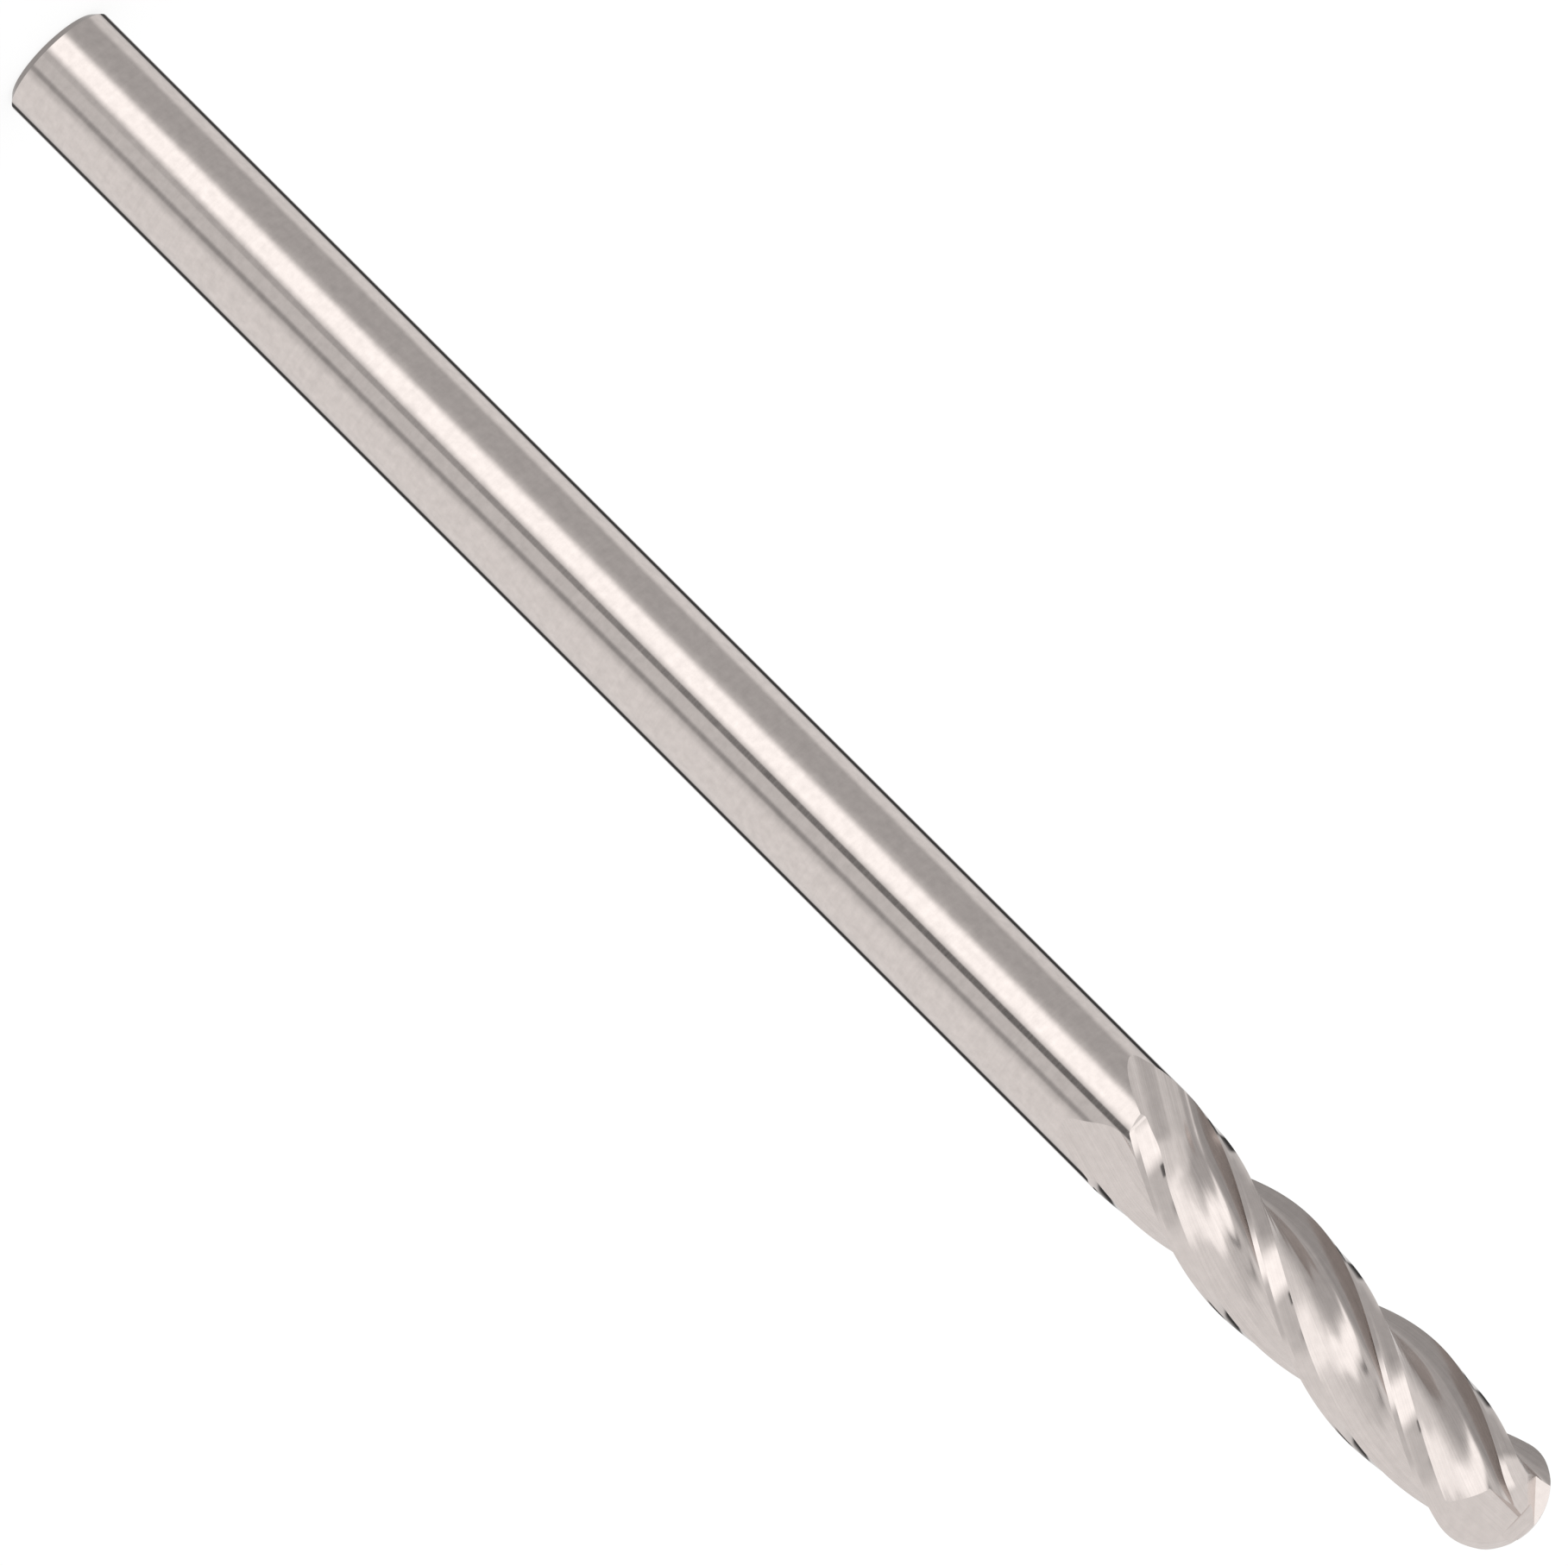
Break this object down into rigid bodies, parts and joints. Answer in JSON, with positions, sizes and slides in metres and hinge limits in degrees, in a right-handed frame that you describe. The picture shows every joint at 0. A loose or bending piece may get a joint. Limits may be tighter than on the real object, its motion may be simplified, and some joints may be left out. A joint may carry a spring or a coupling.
{
  "type": "ball-nose end mill",
  "caption": "Long-reach solid-carbide end mill with right-hand helical flutes, a gashed ball nose and a plain round shank of the same diameter.",
  "frame": {"origin": "centre of the shank's flat end face", "axes": "+Z along the tool axis from the shank end to the ball nose; the two teeth that reach the centre end near +X and -X"},
  "size_m": [0.0096, 0.0096, 0.1524],
  "materials": {
    "carbide_shank": "cemented carbide, centreless ground, bright with fine rings round the rod",
    "carbide_cutting_end": "cemented carbide, flutes, lands and gashes ground bright and left uncoated"
  },
  "bodies": {
    "root": {"shank": "carbide_shank", "cutting_end": "carbide_cutting_end"}
  },
  "joints": []
}
